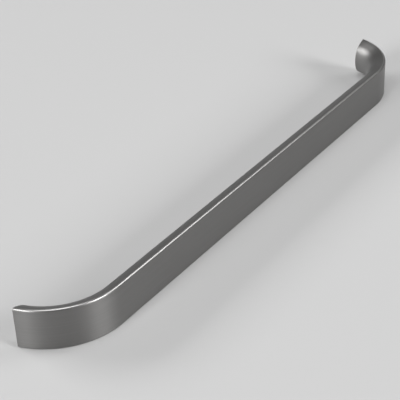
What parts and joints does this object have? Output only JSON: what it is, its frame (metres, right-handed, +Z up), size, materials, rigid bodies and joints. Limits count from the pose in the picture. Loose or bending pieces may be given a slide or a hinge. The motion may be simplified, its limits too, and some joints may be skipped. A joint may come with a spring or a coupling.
{
  "type": "oven door handle",
  "caption": "Bow-shaped metal bar handle for an oven door, flat in front and crowned behind, with ends bent back to the door and tapped for screws from behind.",
  "frame": {"origin": "on the door's surface, midway between the screws and at the bar's mid-height", "axes": "+X along the bar, +Y into the door, +Z up; the flat front faces -Y"},
  "size_m": [0.4442, 0.041, 0.03],
  "materials": {
    "satin_metal": "satin"
  },
  "bodies": {
    "root": {"handle": "satin_metal"}
  },
  "joints": []
}
